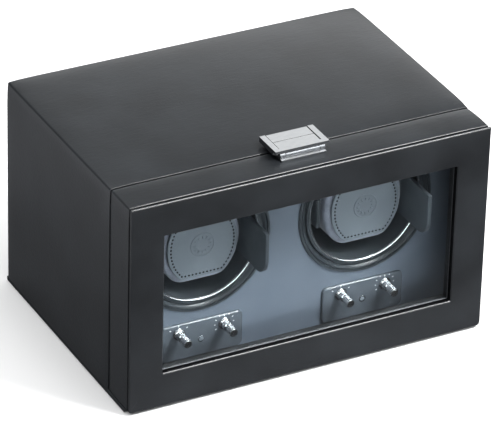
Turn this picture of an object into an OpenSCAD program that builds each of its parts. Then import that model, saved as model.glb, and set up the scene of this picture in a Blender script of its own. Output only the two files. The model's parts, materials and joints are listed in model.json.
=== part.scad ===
// Watch winder box with two winding drums behind a glazed drop-down front lid.
// X runs left to right, the front faces -Y, Z is up, and the origin is the centre of the footprint.

/* [Case] */
// Overall width of the case
case_w = 300; // [290:1:320]
// Overall depth, from the lid's front to the back
case_d = 216; // [210:1:230]
// Height of the case without the latch
case_h = 176; // [174:1:186]
// Depth of the lid, from its front face to the seam
lid_d = 35; // [34:1:38]
// Thickness of the wall boards
board_t = 6; // [5:0.5:7]
// Thickness of the leather covering
leather_t = 1; // [0.8:0.1:1.2]
// Radius of the rounded long edges
edge_r = 2; // [1.5:0.1:2.4]
// Step by which the lid is smaller than the case
lid_step = 0.7; // [0.5:0.1:1]
// Gap of the seam between lid and case
seam_gap = 0.2; // [0.2:0.05:0.5]

/* [Window] */
// Half width of the window
win_hw = 121.3; // [118:0.1:122]
// Lower edge of the window
win_z0 = 30.5; // [30:0.5:33]
// Upper edge of the window
win_z1 = 147.3; // [146:0.1:149]
// Thickness of the window glass
glass_t = 2; // [2:0.5:2.5]

/* [Base] */
// Thickness of the felt under the base
felt_t = 0.8; // [0.6:0.1:1]
// Height of the top of the base board
base_top = 4; // [3.8:0.1:4.2]
// Height of the suede floor in front of the fascia
floor_top = 8; // [7:0.5:8.5]

/* [Lid hinge] */
// Distance of the hinge pin behind the front face, which is also the radius of the lid's lower nose
nose_r = 3.3; // [3.2:0.1:3.4]
// Height of the hinge pin
hinge_z = 4.5; // [4.5:0.1:4.6]
// Radius of the hinge knuckles
knuckle_r = 1.5; // [1.4:0.1:1.5]
// Radius of the hinge pin
hinge_pin_r = 0.7; // [0.6:0.05:0.7]
// Number of hinge knuckles
knuckles = 9; // [5:2:11]

/* [Drums] */
// Distance of each drum's axis from the middle
drum_x = 68.5; // [67:0.5:70]
// Height of the drum axes
drum_z = 104; // [102:0.5:105]
// Inner radius of a drum
drum_ri = 46; // [45.9:0.1:46.2]
// Outer radius of a drum
drum_ro = 49.8; // [49.4:0.1:49.9]
// Length of a drum
drum_len = 88; // [80:1:92]
// Distance of the fascia's face behind the lid's front
fascia_y = 45.8; // [45:0.1:47]

/* [Cuffs] */
// Width of a cuff's cushion
cushion_w = 70; // [66:1:72]
// Height of a cuff's cushion
cushion_h = 68; // [64:1:69]
// Depth of a cuff's cushion from front to back
cushion_len = 40; // [36:1:46]
// Width of the leather patch on a cuff
patch_w = 58; // [54:1:60]
// Height of the leather patch on a cuff
patch_h = 54; // [50:1:56]
// Distance that a cuff's wing stands in front of the fascia
wing_out = 31.4; // [28:0.1:31.6]

/* [Controls] */
// Width of a control plate
plate_w = 69; // [66:1:70]
// Height of a control plate
plate_h = 30.5; // [29:0.5:31]
// Distance of each knob from the middle of its plate
knob_dx = 19; // [17:0.5:21]
// Radius of a knob
knob_r = 3.5; // [3:0.1:4]
// Length of a knob
knob_len = 16; // [12:0.5:16]

/* [Belt drive] */
// Running radius of the drum pulley
drum_pulley_r = 30; // [28:1:32]
// Running radius of the motor pulley
motor_pulley_r = 6; // [6:0.5:7]
// Height of the motor axes
motor_z = 30; // [29:0.5:32]
// Thickness of the drive belt
belt_t = 1.2; // [1:0.1:1.4]

/* [Latch] */
// Width of the latch lever
latch_w = 44.4; // [42:0.2:46]
// Height of the latch above the case
latch_h = 7; // [6.8:0.1:7.5]
// Reach of the latch lever in front of the seam
latch_front = 14.5; // [14:0.1:15]
// Reach of the latch lever behind the seam
latch_rear = 11.7; // [11:0.1:12.5]

/* [Hidden] */
$fn = 96;

// Planes of the case
hw = case_w / 2;
front = -case_d / 2;
back = case_d / 2;
seam = front + lid_d;
inner_hw = hw - 2 * leather_t - board_t;
board_hw = inner_hw + leather_t;
board_top = case_h - leather_t;
board_under = board_top - board_t;
ceiling = board_under - leather_t;

// Planes of the fascia and of what stands behind it
fascia_front = front + fascia_y;
fascia_t = 4;
fascia_back = fascia_front + fascia_t;
spindle_hole_r = 2.3;
fascia_hole_r = 54;

// Planes of the lid
lid_hw = hw - lid_step;
lid_top = case_h - lid_step;
lid_bottom = base_top + 0.4;
lid_back = seam - seam_gap;
lid_board_hw = lid_hw - leather_t;
lid_board_top = lid_top - leather_t;
lid_board_front = front + leather_t;
lid_board_back = front + 8;
lid_board_z = 6.5;
lid_lining_hw = lid_board_hw - board_t;
lid_lining_top = lid_board_top - board_t;
lid_inner_hw = lid_lining_hw - leather_t;
lid_ceiling = lid_lining_top - leather_t;

// Lid hinge
hinge_y = front + nose_r;
hinge_half = 136;
knuckle_gap = 0.2;
knuckle_pitch = 2 * hinge_half / knuckles;
hinge_bore_r = hinge_pin_r + 0.04;
pocket_r = knuckle_r + 0.3;
leaf_t = 0.6;
leaf_gap = 0.05;
leaf_front = hinge_y + pocket_r;
base_leaf_back = hinge_y + 12.7;
lid_leaf_top = hinge_z + 11;
base_front = hinge_y + nose_r + 0.4;
nose_end = 60;
screw_count = 5;
screw_pitch = 60;
screw_r = 1;
screw_head_r = 1.8;
screw_head_t = 0.5;

// Glazing
glass_lap = 4;
glass_fit = 0.2;
bead_w = 0.7;
bead_t = 1;
retainer_w = 8;
retainer_t = 4.8;
glass_back = lid_board_back;
glass_front = glass_back - glass_t;

// Drums and cuffs
drum_front = fascia_front + 0.6;
drum_back = drum_front + drum_len;
drum_plate_t = 3;
drum_hub_r = 9;
drum_hub_len = 6;
shaft_r = 4;
bulkhead_y = drum_back + drum_hub_len + 4;
bulkhead_t = 8;
bush_r = 8;
bush_flange_r = 11;
bush_flange_t = 2;
running_gap = 0.05;
chrome_w = 3.6;
chrome_t = 1.4;
bezel_ri = 50.4;
bezel_ro = 56.5;
cushion_front = fascia_front + 0.7;
cushion_back = cushion_front + cushion_len;
cushion_arc = 43.5;
patch_arc = 37.45;
patch_t = 1.8;
wing_x = 36.8;
wing_t = 3;
wing_top = 15;
wing_low = 22;
wing_nose_r = 14;
wing_back = cushion_front + 32;
foot_x = 32;
foot_hh = 8;
foot_inset = 10;
cradle_arm_hh = 12;
cradle_web_t = 3;
cradle_inset = 2;

// Belt drive
pulley_y = bulkhead_y + bulkhead_t + 6;
pulley_w = 10;
groove_w = 6;
flange_h = 1.5;
belt_w = 4;
belt_gap = 0.3;
motor_r = 18.5;
motor_len = 34;
motor_shaft_r = 3;
motor_bore_len = 12;
axis_gap = drum_z - motor_z;

// Controls
plate_z0 = floor_top + 1;
plate_t = 2.2;
plate_corner_r = 4;
plate_front = fascia_front - plate_t;
knob_z = 32;
knob_gap = 0.3;
knob_collar_r = 5;
knob_collar_t = 1.8;
led_z = 23;
led_r = 2.2;
spindle_r = 2;
switch_size = 13;
switch_len = 14;
switch_back = fascia_back + switch_len;
pcb_t = 1.6;
pcb_hw = 110;
pcb_z0 = 12;
pcb_z1 = 46;

// Power inlet
jack_z = 24;
jack_r = 5.5;
jack_flange_r = 7.5;
jack_bore_r = 2.75;
jack_bore_len = 9.5;
jack_len = 16;
jack_inset = 0.5;

// Latch
latch_top = case_h + latch_h;
latch_arm_w = 4.6;
latch_slot = 0.7;
latch_plate_hw = latch_w / 2 - latch_arm_w - latch_slot;
latch_plate_top = latch_top - 0.4;
latch_bar_d = 4;
latch_bar_z = latch_top - 2.1;
latch_axis_y = seam - latch_front + 0.9;
latch_axis_z = latch_top - 4.4;
latch_barrel_r = 2;
latch_barrel_hw = 14;
latch_pin_r = 0.8;
latch_base_hw = 18.5;
latch_base_front = seam - 17.5;
latch_foot_t = 1.3;

eps = 0.01;

// A box between two opposite corners
module slab(x0, x1, y0, y1, z0, z1) {
    translate([x0, y0, z0])
        cube([x1 - x0, y1 - y0, z1 - z0]);
}

// A drawing in the XZ plane, carried from y0 to y1
module panel(y0, y1) {
    translate([0, y1, 0])
        rotate([90, 0, 0])
            linear_extrude(y1 - y0)
                children();
}

// A round rod along Y
module rod_y(r, y0, y1) {
    translate([0, y0, 0])
        rotate([-90, 0, 0])
            cylinder(h = y1 - y0, r = r);
}

// A round tube along Y
module tube_y(ri, ro, y0, y1) {
    difference() {
        rod_y(ro, y0, y1);
        rod_y(ri, y0 - 1, y1 + 1);
    }
}

// A round rod along X
module rod_x(r, x0, x1) {
    translate([x0, 0, 0])
        rotate([0, 90, 0])
            cylinder(h = x1 - x0, r = r);
}

// A flat rectangle with four round corners
module round_rect(x0, x1, z0, z1, r) {
    translate([x0 + r, z0])
        square([x1 - x0 - 2 * r, z1 - z0]);
    translate([x0, z0 + r])
        square([x1 - x0, z1 - z0 - 2 * r]);
    for (x = [x0 + r, x1 - r], z = [z0 + r, z1 - r])
        translate([x, z])
            circle(r);
}

// An arch-shaped wall section: square below, its two upper corners round
module arch(half, z0, z1, r) {
    translate([-half, z0])
        square([2 * half, z1 - z0 - r]);
    translate([r - half, z0])
        square([2 * half - 2 * r, z1 - z0]);
    for (x = [r - half, half - r])
        translate([x, z1 - r])
            circle(r);
}

// A pillow outline: two bulging sides cut off by a flat top and bottom
module pillow(w, h, arc) {
    intersection() {
        translate([w / 2 - arc, 0])
            circle(arc);
        translate([arc - w / 2, 0])
            circle(arc);
        square([2 * w, h], center = true);
    }
}

module at_drum(side) {
    translate([side * drum_x, 0, drum_z])
        children();
}

module at_motor(side) {
    translate([side * drum_x, 0, motor_z])
        children();
}

module at_knob(side, place) {
    translate([side * drum_x + place * knob_dx, 0, knob_z])
        children();
}

module at_hinge() {
    translate([0, hinge_y, hinge_z])
        children();
}

module at_latch() {
    translate([0, latch_axis_y, latch_axis_z])
        children();
}

// ---- Case ----

module base_felt() {
    color("#16171a")
        slab(-hw + 5, hw - 5, base_front + 3, back - 4, 0, felt_t);
}

module base_board() {
    color("#24262a")
        difference() {
            slab(-hw + 0.4, hw - 0.4, base_front, back, felt_t, base_top);
            slab(-hinge_half, hinge_half, base_front - 1, base_leaf_back,
                hinge_z - leaf_gap - leaf_t, base_top + 1);
            base_screw_places(1.5, base_top)
                cylinder(h = base_top, r = screw_r);
        }
}

module side_board(side) {
    slab(min(side * board_hw, side * (board_hw + board_t)),
        max(side * board_hw, side * (board_hw + board_t)),
        seam + leather_t, back - leather_t, base_top, board_top);
}

module left_board() {
    color("#8a6a48") side_board(-1);
}

module right_board() {
    color("#8a6a48") side_board(1);
}

module top_board() {
    color("#8a6a48")
        slab(-board_hw, board_hw, seam + leather_t, back - leather_t, board_under, board_top);
}

module back_board() {
    color("#8a6a48")
        difference() {
            slab(-board_hw, board_hw, back - leather_t - board_t, back - leather_t,
                base_top, board_under);
            translate([0, 0, jack_z])
                rod_y(jack_r, back - 20, back + 1);
        }
}

// Leather skin over the outside and the front edges, turned in as far as the fascia
module case_leather() {
    color("#26292d")
        difference() {
            panel(seam, back)
                arch(hw, base_top, case_h, edge_r);
            slab(-hw + leather_t, hw - leather_t, fascia_front, back - leather_t,
                base_top - 1, board_top);
            difference() {
                slab(-hw + leather_t, hw - leather_t, seam + leather_t, fascia_front + eps,
                    base_top - 1, board_top);
                slab(-board_hw, board_hw, seam, fascia_front + 1, base_top - 2, board_under);
            }
            slab(-inner_hw, inner_hw, seam - 1, fascia_front + eps, base_top - 1, ceiling);
            translate([0, 0, jack_z])
                rod_y(jack_flange_r, back - 5, back + 1);
        }
}

module floor_liner() {
    color("#101113")
        slab(-lid_inner_hw + 1, lid_inner_hw - 1, base_leaf_back + 0.4, fascia_front,
            base_top, floor_top);
}

module fascia() {
    color("#6a7480")
        difference() {
            slab(-board_hw, board_hw, fascia_front, fascia_back, base_top, board_under);
            for (side = [-1, 1]) {
                at_drum(side) rod_y(fascia_hole_r, fascia_front - 1, fascia_back + 1);
                for (place = [-1, 1])
                    at_knob(side, place) rod_y(spindle_hole_r, fascia_front - 1, fascia_back + 1);
                translate([side * drum_x, 0, led_z])
                    rod_y(led_r, fascia_front - 1, fascia_back + 1);
            }
        }
}

module drum_bezels() {
    color("#3a4048")
        for (side = [-1, 1])
            at_drum(side) {
                tube_y(bezel_ri, fascia_hole_r, fascia_front, fascia_back + 2);
                tube_y(bezel_ri, bezel_ro, fascia_front - 0.8, fascia_front);
            }
}

module bulkhead() {
    color("#8a6a48")
        difference() {
            slab(-board_hw, board_hw, bulkhead_y, bulkhead_y + bulkhead_t,
                base_top, board_under);
            for (side = [-1, 1]) {
                at_drum(side) rod_y(bush_r, bulkhead_y - 1, bulkhead_y + bulkhead_t + 1);
                at_motor(side)
                    rod_y(motor_shaft_r + 2, bulkhead_y - 1, bulkhead_y + bulkhead_t + 1);
            }
        }
}

module control_plate(side) {
    x0 = side * drum_x - plate_w / 2;
    difference() {
        panel(plate_front, fascia_front)
            round_rect(x0, x0 + plate_w, plate_z0, plate_z0 + plate_h, plate_corner_r);
        for (place = [-1, 1])
            at_knob(side, place) rod_y(spindle_hole_r, plate_front - 1, fascia_front + 1);
        translate([side * drum_x, 0, led_z])
            rod_y(led_r, plate_front - 1, fascia_front + 1);
    }
}

module left_control_plate() {
    color("#3c444d") control_plate(-1);
}

module right_control_plate() {
    color("#3c444d") control_plate(1);
}

module led_lenses() {
    color("#9aa4ad")
        for (side = [-1, 1])
            translate([side * drum_x, 0, led_z])
                rod_y(led_r, plate_front - 0.7, fascia_back + 3);
}

module rotary_switches() {
    color("#2b3f6b")
        for (side = [-1, 1], place = [-1, 1])
            at_knob(side, place)
                difference() {
                    slab(-switch_size / 2, switch_size / 2, fascia_back, switch_back,
                        -switch_size / 2, switch_size / 2);
                    rod_y(spindle_r + running_gap, fascia_back - 1, switch_back - 2);
                }
}

module circuit_board() {
    color("#1f5a3a")
        slab(-pcb_hw, pcb_hw, switch_back, switch_back + pcb_t, pcb_z0, pcb_z1);
}

module dc_jack() {
    color("#1c1c1e")
        translate([0, 0, jack_z])
            difference() {
                union() {
                    rod_y(jack_r, back - jack_len, back - leather_t);
                    rod_y(jack_flange_r, back - leather_t, back - jack_inset);
                }
                rod_y(jack_bore_r, back - jack_inset - jack_bore_len, back + 1);
            }
}

// ---- Lid hinge ----

module base_screw_places(z0, z1) {
    for (i = [0 : screw_count - 1])
        translate([(i - (screw_count - 1) / 2) * screw_pitch, hinge_y + 8.5, z0])
            children();
}

// Knuckles of one leaf: every second one, starting with number first
module knuckle_row(first, leaf_z0, leaf_z1) {
    for (i = [first : 2 : knuckles - 1]) {
        x0 = -hinge_half + i * knuckle_pitch + knuckle_gap / 2;
        x1 = x0 + knuckle_pitch - knuckle_gap;
        rod_x(knuckle_r, x0, x1);
        slab(x0, x1, knuckle_r / 2 + 0.3, pocket_r + eps, leaf_z0, leaf_z1);
    }
}

module hinge_base_leaf() {
    color("#8d8f92")
        difference() {
            union() {
                slab(-hinge_half, hinge_half, leaf_front, base_leaf_back,
                    hinge_z - leaf_gap - leaf_t, hinge_z - leaf_gap);
                at_hinge() knuckle_row(0, -leaf_gap - leaf_t, -leaf_gap);
            }
            at_hinge() rod_x(hinge_bore_r, -hw, hw);
            base_screw_places(hinge_z - leaf_gap - leaf_t - 1, 0)
                cylinder(h = 4, r = screw_r);
            base_screw_places(hinge_z - leaf_gap - screw_head_t, 0)
                cylinder(h = 4, r = screw_head_r);
        }
}

module hinge_pin() {
    color("#b9bbbe")
        at_hinge() rod_x(hinge_pin_r, -hinge_half, hinge_half);
}

module hinge_base_screws() {
    color("#b9bbbe") {
        base_screw_places(1.5, 0)
            cylinder(h = hinge_z - leaf_gap - screw_head_t - 1.5, r = screw_r);
        base_screw_places(hinge_z - leaf_gap - screw_head_t, 0)
            cylinder(h = screw_head_t, r = screw_head_r);
    }
}

module lid_screw_places() {
    for (i = [0 : screw_count - 1])
        translate([(i - (screw_count - 1) / 2) * screw_pitch, 0, hinge_z + 7])
            children();
}

module lid_hinge_leaf() {
    color("#8d8f92")
        difference() {
            union() {
                slab(-hinge_half, hinge_half, leaf_front, lid_board_back + leaf_t,
                    hinge_z + leaf_gap, hinge_z + leaf_gap + leaf_t);
                slab(-hinge_half, hinge_half, lid_board_back, lid_board_back + leaf_t,
                    hinge_z + leaf_gap, lid_leaf_top);
                at_hinge() knuckle_row(1, leaf_gap, leaf_gap + leaf_t);
            }
            at_hinge() rod_x(hinge_bore_r, -hw, hw);
            lid_screw_places() rod_y(screw_r, lid_board_back - 1, lid_board_back + 2);
            lid_screw_places()
                rod_y(screw_head_r, lid_board_back + leaf_t - screw_head_t, lid_board_back + 2);
        }
}

module lid_hinge_screws() {
    color("#b9bbbe")
        lid_screw_places() {
            rod_y(screw_r, lid_board_back - 5, lid_board_back + leaf_t - screw_head_t);
            rod_y(screw_head_r, lid_board_back + leaf_t - screw_head_t, lid_board_back + leaf_t);
        }
}

// ---- Lid ----

module lid_frame() {
    leaf_top = hinge_z + leaf_gap + leaf_t;
    rabbet = glass_lap + glass_fit;
    color("#8a6a48")
        difference() {
            union() {
                slab(-lid_board_hw, lid_board_hw, lid_board_front, lid_board_back,
                    lid_board_z, lid_board_top);
                slab(-lid_board_hw, lid_board_hw, leaf_front, lid_board_back,
                    leaf_top, lid_board_z);
            }
            slab(-win_hw - leather_t, win_hw + leather_t, lid_board_front - 1,
                lid_board_back + 1, win_z0 - leather_t, win_z1 + leather_t);
            slab(-win_hw - rabbet, win_hw + rabbet, glass_front, lid_board_back + 1,
                win_z0 - rabbet, win_z1 + rabbet);
            lid_screw_places() rod_y(screw_r, lid_board_back - 5, lid_board_back + 1);
        }
}

// Three boards that form the lid's top and sides
module lid_rim() {
    y1 = lid_back - leather_t;
    color("#8a6a48") {
        slab(-lid_lining_hw, lid_lining_hw, lid_board_back, y1, lid_lining_top, lid_board_top);
        slab(-lid_board_hw, -lid_lining_hw, lid_board_back, y1, lid_bottom + leather_t,
            lid_board_top);
        slab(lid_lining_hw, lid_board_hw, lid_board_back, y1, lid_bottom + leather_t,
            lid_board_top);
    }
}

// Leather over the lid: front face, window reveal, outside, rear edge and the nose round the hinge
module lid_leather() {
    color("#26292d")
        union() {
            difference() {
                panel(front, lid_back)
                    arch(lid_hw, lid_bottom, lid_top, edge_r);
                difference() {
                    slab(-lid_board_hw, lid_board_hw, lid_board_front, lid_board_back,
                        0, lid_board_top);
                    slab(-win_hw - leather_t, win_hw + leather_t, front, lid_board_back + 1,
                        win_z0 - leather_t, win_z1 + leather_t);
                }
                slab(-win_hw, win_hw, front - 1, lid_board_back + 1, win_z0, win_z1);
                slab(-win_hw - leather_t, win_hw + leather_t, glass_front, lid_board_back + 1,
                    win_z0 - leather_t, win_z1 + leather_t);
                slab(-lid_board_hw, lid_board_hw, lid_board_back - eps, lid_back - leather_t,
                    lid_bottom + leather_t, lid_board_top);
                slab(-lid_lining_hw, lid_lining_hw, lid_board_back - eps, lid_back - leather_t,
                    0, lid_board_top);
                slab(-lid_inner_hw, lid_inner_hw, lid_board_back - eps, lid_back + 1,
                    0, lid_ceiling);
                slab(-lid_hw - 1, lid_hw + 1, front - 1, lid_board_back, 0, hinge_z);
            }
            slab(-lid_hw, lid_hw, front, hinge_y - pocket_r, hinge_z, lid_board_z);
            lid_nose();
        }
}

module lid_nose() {
    at_hinge()
        intersection() {
            difference() {
                rod_x(nose_r, -lid_hw, lid_hw);
                rod_x(pocket_r, -hw, hw);
            }
            slab(-hw, hw, -nose_r - 1, 0, -nose_r - 1, 0);
            rotate([nose_end, 0, 0])
                slab(-hw, hw, -nose_r - 1, nose_r + 1, 0, nose_r + 2);
        }
}

module lid_lining() {
    y1 = lid_back - leather_t;
    color("#101113")
        difference() {
            slab(-lid_lining_hw, lid_lining_hw, lid_board_back, y1,
                lid_bottom + leather_t, lid_lining_top);
            slab(-lid_inner_hw, lid_inner_hw, lid_board_back - 1, y1 + 1, 0, lid_ceiling);
        }
}

module window_glass() {
    color([0.75, 0.85, 0.9, 0.3])
        slab(-win_hw - glass_lap, win_hw + glass_lap, glass_front, glass_back,
            win_z0 - glass_lap, win_z1 + glass_lap);
}

module window_bead() {
    color("#6f757c")
        difference() {
            slab(-win_hw, win_hw, glass_front - bead_t, glass_front, win_z0, win_z1);
            slab(-win_hw + bead_w, win_hw - bead_w, glass_front - bead_t - 1, glass_front + 1,
                win_z0 + bead_w, win_z1 - bead_w);
        }
}

module glass_retainer() {
    color("#101113")
        difference() {
            slab(-win_hw - retainer_w, win_hw + retainer_w, glass_back, glass_back + retainer_t,
                win_z0 - retainer_w, win_z1 + retainer_w);
            slab(-win_hw, win_hw, glass_back - 1, glass_back + retainer_t + 1, win_z0, win_z1);
        }
}

// ---- Latch ----

module latch_base() {
    color("#c9cdd1")
        difference() {
            union() {
                slab(-latch_base_hw, latch_base_hw, latch_base_front, lid_back,
                    lid_top, lid_top + latch_foot_t);
                slab(-latch_plate_hw, latch_plate_hw, seam - latch_front + latch_bar_d + 0.4,
                    lid_back, lid_top, latch_plate_top);
                for (side = [-1, 1])
                    at_latch()
                        latch_ear(side);
            }
            at_latch() rod_x(latch_pin_r, -hw, hw);
        }
}

module latch_ear(side) {
    x0 = side < 0 ? -latch_base_hw : latch_barrel_hw + 0.3;
    x1 = side < 0 ? -latch_barrel_hw - 0.3 : latch_base_hw;
    rod_x(latch_barrel_r, x0, x1);
    slab(x0, x1, -latch_barrel_r, latch_barrel_r, lid_top - latch_axis_z, 0);
}

module latch_pin() {
    color("#d8dbde")
        at_latch() rod_x(latch_pin_r, -latch_base_hw, latch_base_hw);
}

module latch_lever() {
    bar_front = seam - latch_front;
    bar_back = bar_front + latch_bar_d;
    arm_hw = latch_w / 2;
    color("#dfe3e6")
        difference() {
            union() {
                slab(-arm_hw, arm_hw, bar_front, bar_back, latch_bar_z, latch_top);
                for (side = [-1, 1]) {
                    inner = side * (arm_hw - latch_arm_w);
                    slab(min(inner, side * arm_hw), max(inner, side * arm_hw),
                        bar_back - eps, seam + latch_rear, latch_top - 4.4, latch_top);
                }
                at_latch() {
                    rod_x(latch_barrel_r, -latch_barrel_hw, latch_barrel_hw);
                    slab(-latch_barrel_hw, latch_barrel_hw, -0.9, 1,
                        0, latch_bar_z - latch_axis_z + eps);
                }
            }
            at_latch() rod_x(latch_pin_r + running_gap, -hw, hw);
        }
}

module latch_keeper() {
    color("#c9cdd1") {
        slab(-latch_plate_hw, latch_plate_hw, seam + seam_gap, seam + latch_rear,
            case_h, latch_plate_top);
    }
}

// ---- Drums and cuffs ----

module drum() {
    difference() {
        union() {
            tube_y(drum_ri, drum_ro, drum_front, drum_back);
            rod_y(drum_ro - 1, drum_back - drum_plate_t, drum_back);
            rod_y(drum_hub_r, drum_back - eps, drum_back + drum_hub_len);
        }
        rod_y(shaft_r, drum_back - drum_plate_t - 1, drum_back + drum_hub_len + 1);
    }
}

module chrome_ring() {
    tube_y(drum_ri, drum_ri + chrome_w, drum_front - chrome_t, drum_front);
}

// Side view of a wing, drawn with Y to the right: its lower front corner is round
module wing_outline() {
    y0 = fascia_front - wing_out;
    translate([y0 + wing_nose_r, -wing_low])
        square([wing_back - y0 - wing_nose_r, wing_low + wing_top]);
    translate([y0, wing_nose_r - wing_low])
        square([wing_back - y0, wing_low + wing_top - wing_nose_r]);
    translate([y0 + wing_nose_r, wing_nose_r - wing_low])
        circle(wing_nose_r);
}

// U-shaped cradle that holds a cushion by its sides and leaves a strap free to pass behind it
module cuff_frame() {
    web_front = drum_back - drum_plate_t - cradle_web_t;
    translate([wing_x, 0, 0])
        rotate([90, 0, 90])
            linear_extrude(wing_t)
                wing_outline();
    slab(wing_x, wing_x + wing_t, wing_back - 1, web_front + cradle_web_t,
        -cradle_arm_hh, cradle_arm_hh);
    slab(-wing_x - wing_t, -wing_x, fascia_front + cradle_inset, web_front + cradle_web_t,
        -cradle_arm_hh, cradle_arm_hh);
    slab(-wing_x - eps, wing_x + eps, web_front, web_front + cradle_web_t,
        -cradle_arm_hh, cradle_arm_hh);
    cradle_feet();
}

// Blocks on the cradle's arms that sit in the sides of the cushion
module cradle_feet() {
    for (side = [-1, 1])
        slab(min(side * foot_x, side * wing_x), max(side * foot_x, side * wing_x),
            cushion_front + foot_inset, cushion_back - foot_inset, -foot_hh, foot_hh);
}

module cuff_cushion() {
    difference() {
        panel(cushion_front, cushion_back)
            pillow(cushion_w, cushion_h, cushion_arc);
        cradle_feet();
    }
}

module cuff_patch() {
    panel(cushion_front - patch_t, cushion_front)
        pillow(patch_w, patch_h, patch_arc);
}

module drum_shaft() {
    rod_y(shaft_r, drum_back - drum_plate_t, pulley_y + pulley_w + 2);
}

// A grooved pulley whose belt runs at radius r
module pulley(r, bore_r) {
    y1 = (pulley_w - groove_w) / 2;
    difference() {
        union() {
            rod_y(r, pulley_y, pulley_y + pulley_w);
            rod_y(r + flange_h, pulley_y, pulley_y + y1);
            rod_y(r + flange_h, pulley_y + pulley_w - y1, pulley_y + pulley_w);
        }
        rod_y(bore_r, pulley_y - 1, pulley_y + pulley_w + 1);
    }
}

module left_drum() {
    color("#33383f") at_drum(-1) drum();
}

module left_chrome_ring() {
    color("#e4e7ea") at_drum(-1) chrome_ring();
}

module left_cuff_frame() {
    color("#4a5058") at_drum(-1) cuff_frame();
}

module left_cuff_cushion() {
    color("#6d7480") at_drum(-1) cuff_cushion();
}

module left_cuff_patch() {
    color("#59616a") at_drum(-1) cuff_patch();
}

module left_drum_shaft() {
    color("#a9adb2") at_drum(-1) drum_shaft();
}

module left_drum_pulley() {
    color("#2d2f33") at_drum(-1) pulley(drum_pulley_r, shaft_r);
}

module right_drum() {
    color("#33383f") at_drum(1) drum();
}

module right_chrome_ring() {
    color("#e4e7ea") at_drum(1) chrome_ring();
}

module right_cuff_frame() {
    color("#4a5058") at_drum(1) cuff_frame();
}

module right_cuff_cushion() {
    color("#6d7480") at_drum(1) cuff_cushion();
}

module right_cuff_patch() {
    color("#59616a") at_drum(1) cuff_patch();
}

module right_drum_shaft() {
    color("#a9adb2") at_drum(1) drum_shaft();
}

module right_drum_pulley() {
    color("#2d2f33") at_drum(1) pulley(drum_pulley_r, shaft_r);
}

// ---- Belt drive ----

module bush() {
    difference() {
        union() {
            rod_y(bush_r, bulkhead_y, bulkhead_y + bulkhead_t + 2);
            rod_y(bush_flange_r, bulkhead_y - bush_flange_t, bulkhead_y);
        }
        rod_y(shaft_r + running_gap, bulkhead_y - 10, bulkhead_y + 20);
    }
}

module gearmotor() {
    difference() {
        union() {
            rod_y(motor_r, bulkhead_y - motor_len, bulkhead_y);
            rod_y(motor_r - 4, bulkhead_y - motor_len - 14, bulkhead_y - motor_len);
        }
        rod_y(motor_shaft_r + running_gap, bulkhead_y - motor_bore_len, bulkhead_y + 1);
    }
}

module motor_pulley() {
    pulley(motor_pulley_r, motor_shaft_r - 0.5);
    rod_y(motor_shaft_r, bulkhead_y - motor_bore_len + 1, pulley_y + pulley_w + 1);
}

// Outline of a belt loop whose two round ends have radii big_r and small_r
module loop_outline(big_r, small_r) {
    lean = asin((big_r - small_r) / axis_gap);
    tip = [cos(lean), sin(lean)];
    circle(small_r);
    translate([0, axis_gap])
        circle(big_r);
    polygon([
        small_r * tip,
        big_r * tip + [0, axis_gap],
        [-big_r * tip.x, big_r * tip.y + axis_gap],
        [-small_r * tip.x, small_r * tip.y]
    ]);
}

module drive_belt() {
    y0 = pulley_y + (pulley_w - belt_w) / 2;
    panel(y0, y0 + belt_w)
        difference() {
            loop_outline(drum_pulley_r + belt_gap + belt_t, motor_pulley_r + belt_gap + belt_t);
            loop_outline(drum_pulley_r + belt_gap, motor_pulley_r + belt_gap);
        }
}

module left_bush() {
    color("#b9995a") at_drum(-1) bush();
}

module right_bush() {
    color("#b9995a") at_drum(1) bush();
}

module left_gearmotor() {
    color("#9a9da1") at_motor(-1) gearmotor();
}

module right_gearmotor() {
    color("#9a9da1") at_motor(1) gearmotor();
}

module left_motor_pulley() {
    color("#2d2f33") at_motor(-1) motor_pulley();
}

module right_motor_pulley() {
    color("#2d2f33") at_motor(1) motor_pulley();
}

module left_drive_belt() {
    color("#111111") at_motor(-1) drive_belt();
}

module right_drive_belt() {
    color("#111111") at_motor(1) drive_belt();
}

// ---- Knobs ----

// A slim turned knob with its collar and the spindle that runs in the rotary switch
module knob() {
    y1 = plate_front - knob_gap;
    rod_y(knob_r, y1 - knob_len, y1);
    rod_y(knob_collar_r, y1 - knob_collar_t, y1);
    rod_y(spindle_r, y1 - 1, switch_back - 3);
}

module left_direction_knob() {
    color("#e4e7ea") at_knob(-1, -1) knob();
}

module left_turns_knob() {
    color("#e4e7ea") at_knob(-1, 1) knob();
}

module right_direction_knob() {
    color("#e4e7ea") at_knob(1, -1) knob();
}

module right_turns_knob() {
    color("#e4e7ea") at_knob(1, 1) knob();
}

base_felt();
base_board();
left_board();
right_board();
top_board();
back_board();
case_leather();
floor_liner();
fascia();
drum_bezels();
bulkhead();
left_control_plate();
right_control_plate();
led_lenses();
rotary_switches();
circuit_board();
dc_jack();
hinge_base_leaf();
hinge_pin();
hinge_base_screws();
latch_keeper();
left_drum();
left_chrome_ring();
left_cuff_frame();
left_cuff_cushion();
left_cuff_patch();
left_drum_shaft();
left_drum_pulley();
right_drum();
right_chrome_ring();
right_cuff_frame();
right_cuff_cushion();
right_cuff_patch();
right_drum_shaft();
right_drum_pulley();
left_bush();
right_bush();
left_gearmotor();
right_gearmotor();
left_motor_pulley();
right_motor_pulley();
left_drive_belt();
right_drive_belt();
left_direction_knob();
left_turns_knob();
right_direction_knob();
right_turns_knob();
lid_frame();
lid_rim();
lid_leather();
lid_lining();
window_glass();
window_bead();
glass_retainer();
lid_hinge_leaf();
lid_hinge_screws();
latch_base();
latch_pin();
latch_lever();
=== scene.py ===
import json
import math

import bmesh
import bpy
from mathutils import Matrix, Vector

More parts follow.
